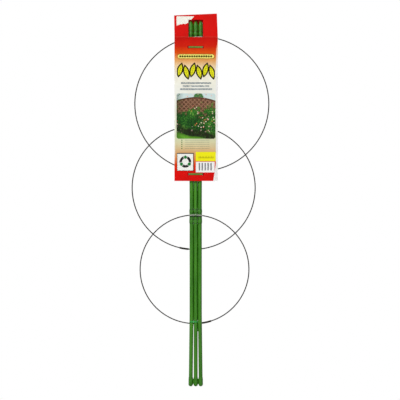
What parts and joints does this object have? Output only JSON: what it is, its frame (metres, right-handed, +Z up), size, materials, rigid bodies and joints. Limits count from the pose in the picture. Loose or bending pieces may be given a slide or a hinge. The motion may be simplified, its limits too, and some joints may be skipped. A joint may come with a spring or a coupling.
{
  "type": "plant support ring stake",
  "caption": "Folding plant support of coated stakes and wire rings that tilt and spread into a round cage, folded flat with a hanging card tied on.",
  "frame": {"origin": "tip of the centre stake's foot cap", "axes": "+Z up along the centre stake, +Y behind the stakes away from the card, +X to the right as seen from the card's side"},
  "size_m": [0.3019, 0.0192, 0.8167],
  "materials": {
    "green_coating": "satin plastic coating",
    "green_moulding": "satin moulded plastic",
    "steel_tube": "bare rolled tube",
    "ring_wire": "dark satin wire",
    "join_sleeve": "dark crimped sleeve",
    "card": "gloss printed card",
    "tie": "plastic covered wire"
  },
  "bodies": {
    "centre_stake": {"centre_tube": "steel_tube", "centre_coating": "green_coating", "centre_top_cap": "green_moulding", "centre_foot_cap": "green_moulding", "centre_eye_collar_top": "green_moulding", "centre_eye_collar_mid": "green_moulding", "centre_eye_collar_low": "green_moulding", "sales_card": "card", "upper_card_tie": "tie", "lower_card_tie": "tie", "low_stake_tie": "tie"},
    "left_stake": {"left_tube": "steel_tube", "left_coating": "green_coating", "left_top_cap": "green_moulding", "left_foot_cap": "green_moulding", "left_stop_collar_top": "green_moulding", "left_stop_collar_mid": "green_moulding", "left_stop_collar_low": "green_moulding"},
    "right_stake": {"right_tube": "steel_tube", "right_coating": "green_coating", "right_top_cap": "green_moulding", "right_foot_cap": "green_moulding", "right_stop_collar_top": "green_moulding", "right_stop_collar_mid": "green_moulding", "right_stop_collar_low": "green_moulding"},
    "top_ring": {"top_ring_wire": "ring_wire", "top_ring_sleeve": "join_sleeve"},
    "middle_ring": {"middle_ring_wire": "ring_wire", "middle_ring_sleeve": "join_sleeve"},
    "bottom_ring": {"bottom_ring_wire": "ring_wire", "bottom_ring_sleeve": "join_sleeve"}
  },
  "joints": [
    {"name": "top_ring_tilt", "type": "hinge", "parent": "centre_stake", "child": "top_ring", "pos_m": [0, -0.0065, 0.765], "axis": [0.9976, 0.0491, 0.0478], "range_deg": [0, 83.62]},
    {"name": "middle_ring_tilt", "type": "hinge", "parent": "centre_stake", "child": "middle_ring", "pos_m": [0, -0.0065, 0.5695], "axis": [0.9997, -0.018, -0.0175], "range_deg": [0, 83.3]},
    {"name": "bottom_ring_tilt", "type": "hinge", "parent": "centre_stake", "child": "bottom_ring", "pos_m": [0, -0.0065, 0.3755], "axis": [0.9999, -0.0118, -0.0115], "range_deg": [0, 82.94]},
    {"name": "left_stake_swing", "type": "hinge", "parent": "centre_stake", "child": "left_stake", "pos_m": [0, 0.1114, 0.36712], "axis": [0, 0.0709, 0.9975], "range_deg": [-115.3, 0]},
    {"name": "right_stake_swing", "type": "hinge", "parent": "centre_stake", "child": "right_stake", "pos_m": [0, 0.1114, 0.36712], "axis": [0, 0.0709, 0.9975], "range_deg": [0, 115.3]}
  ],
  "couplings": [
    {"joint": "middle_ring_tilt", "follows": "top_ring_tilt", "ratio": 0.99613},
    {"joint": "bottom_ring_tilt", "follows": "top_ring_tilt", "ratio": 0.99184},
    {"joint": "left_stake_swing", "follows": "top_ring_tilt", "ratio": -1.3789},
    {"joint": "right_stake_swing", "follows": "top_ring_tilt", "ratio": 1.3789}
  ]
}
